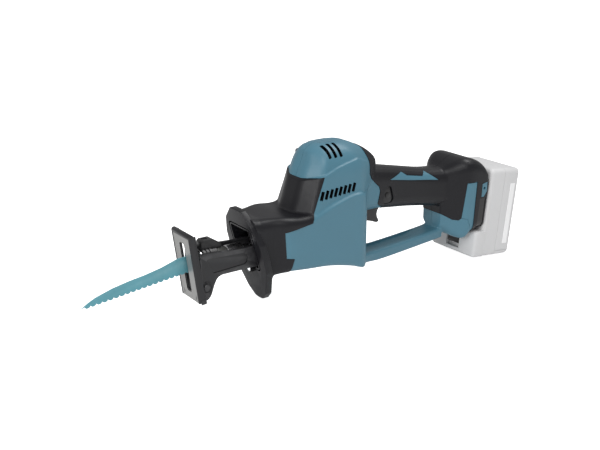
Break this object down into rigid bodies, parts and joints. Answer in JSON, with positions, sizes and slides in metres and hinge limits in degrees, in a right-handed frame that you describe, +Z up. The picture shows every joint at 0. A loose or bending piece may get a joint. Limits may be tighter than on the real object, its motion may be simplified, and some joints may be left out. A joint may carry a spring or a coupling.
{
  "type": "cordless reciprocating saw",
  "caption": "Cordless reciprocating saw with in-line handle, guard bar, pivoting shoe, tool-less blade clamp and slide-on battery pack.",
  "frame": {"origin": "centre of the base of the box round the tool with its battery fitted, level with the battery's lowest edge", "axes": "+X runs from the blade back to the battery, +Y to the tool's right-hand side, +Z up"},
  "size_m": [0.5703, 0.076, 0.1775],
  "materials": {
    "teal_plastic": "satin moulded plastic",
    "grip_rubber": "matt soft-touch rubber",
    "black_plastic": "fine-textured plastic",
    "aluminium": "cast",
    "bronze": "turned",
    "brass": "bright",
    "black_steel": "black coated steel",
    "steel": "machined",
    "blade_coating": "blue-green coated steel",
    "lens": "clear",
    "circuit_board": "coated board",
    "pack_plastic": "pale grey moulded plastic",
    "cell_wrap": "shrink wrap"
  },
  "bodies": {
    "housing": {"housing_left": "teal_plastic", "housing_right": "teal_plastic", "grip_left": "grip_rubber", "grip_right": "grip_rubber", "handle_inlay_left": "teal_plastic", "handle_inlay_right": "teal_plastic", "side_strip_left": "teal_plastic", "side_strip_right": "teal_plastic", "side_panel_left": "black_plastic", "side_panel_right": "black_plastic", "strap_tab_left": "teal_plastic", "strap_tab_right": "teal_plastic", "front_boot": "grip_rubber", "gear_case": "aluminium", "slider_bush": "bronze", "dust_seal": "grip_rubber", "crank_bearing": "steel", "motor_stator": "black_steel", "circuit_ring": "circuit_board", "motor_bearing_lower": "steel", "motor_bearing_upper": "steel", "switch_body": "black_plastic", "controller": "circuit_board", "terminal_block": "black_plastic", "terminal_plus": "brass", "terminal_minus": "brass", "lamp_holder": "black_plastic", "lamp_lens": "lens", "shoe_bracket": "black_steel", "shoe_pin": "steel", "housing_screw_lower": "steel", "housing_screw_hump_back": "steel", "housing_screw_hump_top": "steel", "housing_screw_bar": "steel", "housing_screw_cap": "steel"},
    "shoe": {"shoe_plate": "black_steel"},
    "slider": {"slider_shaft": "steel", "yoke": "steel", "clamp_body": "steel", "clamp_pin": "steel", "clamp_ring": "steel", "clamp_cross_pin": "steel", "clamp_spring": "steel", "saw_blade": "blade_coating"},
    "clamp_sleeve": {"clamp_sleeve": "black_steel"},
    "crank": {"crank_gear": "steel", "crank_pin": "steel", "crank_shaft": "steel"},
    "rotor": {"motor_rotor": "steel", "motor_shaft": "steel", "motor_pinion": "steel", "motor_fan": "black_plastic"},
    "trigger": {"trigger": "black_plastic"},
    "lock_button": {"lock_button": "black_plastic"},
    "battery": {"battery_cover": "pack_plastic", "battery_case": "pack_plastic", "battery_cells": "cell_wrap"},
    "battery_button": {"battery_button": "black_plastic"}
  },
  "joints": [
    {"name": "stroke", "type": "slide", "parent": "housing", "child": "slider", "axis": [1, 0, 0], "range_m": [0, 0.02]},
    {"name": "crank_turn", "type": "hinge", "parent": "housing", "child": "crank", "pos_m": [-0.01345, 0, 0.08554], "axis": [0, 0, 1], "range_deg": [0, 181]},
    {"name": "rotor_spin", "type": "hinge", "parent": "housing", "child": "rotor", "pos_m": [0.01155, 0, 0.08554], "axis": [0, 0, 1], "range_deg": [-722, 2]},
    {"name": "sleeve_turn", "type": "hinge", "parent": "slider", "child": "clamp_sleeve", "pos_m": [-0.14645, 0, 0.07354], "axis": [1, 0, 0], "range_deg": [0, 30], "stiffness_Nm_per_rad": 0.05, "springref_deg": -11.46},
    {"name": "shoe_tilt", "type": "hinge", "parent": "housing", "child": "shoe", "pos_m": [-0.15425, 0, 0.04754], "axis": [0, 1, 0], "range_deg": [-10, 12]},
    {"name": "trigger_pull", "type": "slide", "parent": "housing", "child": "trigger", "axis": [0, 0, 1], "range_m": [0, 0.006], "stiffness_N_per_m": 900, "springref_m": -0.002},
    {"name": "lock_slide", "type": "slide", "parent": "housing", "child": "lock_button", "axis": [0, 1, 0], "range_m": [-0.002, 0.002]},
    {"name": "battery_slide", "type": "slide", "parent": "housing", "child": "battery", "axis": [-0.1063, 0, -0.9943], "range_m": [0, 0.1]},
    {"name": "battery_release", "type": "slide", "parent": "battery", "child": "battery_button", "axis": [-0.1063, 0, -0.9943], "range_m": [0, 0.003], "stiffness_N_per_m": 600, "springref_m": -0.001}
  ],
  "couplings": [
    {"joint": "crank_turn", "follows": "stroke", "rad_per_m": 157.08},
    {"joint": "rotor_spin", "follows": "stroke", "rad_per_m": -628.32}
  ]
}
